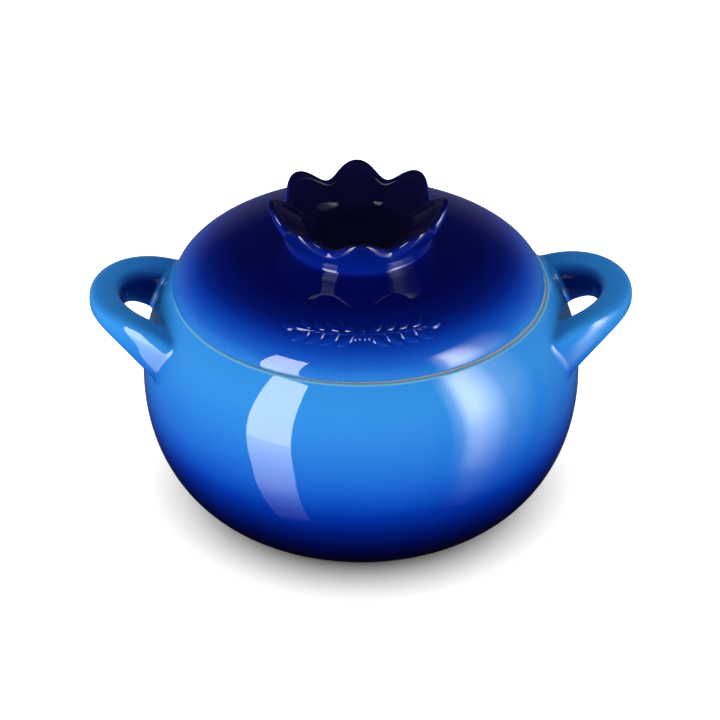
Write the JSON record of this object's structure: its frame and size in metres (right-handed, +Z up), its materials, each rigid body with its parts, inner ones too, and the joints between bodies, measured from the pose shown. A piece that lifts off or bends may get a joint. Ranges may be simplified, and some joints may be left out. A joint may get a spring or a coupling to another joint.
{
  "type": "lidded stoneware pot",
  "caption": "Small round glazed stoneware pot with loop handles and a lift-off domed lid, whose knob is a hollow petalled crown.",
  "frame": {"origin": "on the floor under the middle of the pot, at the foot ring's lowest face", "axes": "+Z up along the pot's axis and the lid's lift, +X towards the right handle, -Y the front"},
  "size_m": [0.172, 0.14, 0.1044],
  "materials": {
    "azure_glaze": "gloss",
    "cobalt_glaze": "gloss",
    "navy_glaze": "gloss",
    "buff_stoneware": "unglazed"
  },
  "bodies": {
    "pot": {"pot_body": "azure_glaze", "foot_ring": "buff_stoneware", "handle_left": "azure_glaze", "handle_right": "azure_glaze"},
    "lid": {"lid_dome": "cobalt_glaze", "lid_flange": "buff_stoneware", "calyx_knob": "navy_glaze"}
  },
  "joints": [
    {"name": "lid_lift", "type": "slide", "parent": "pot", "child": "lid", "axis": [0, 0, 1], "range_m": [0, 0.12]}
  ]
}
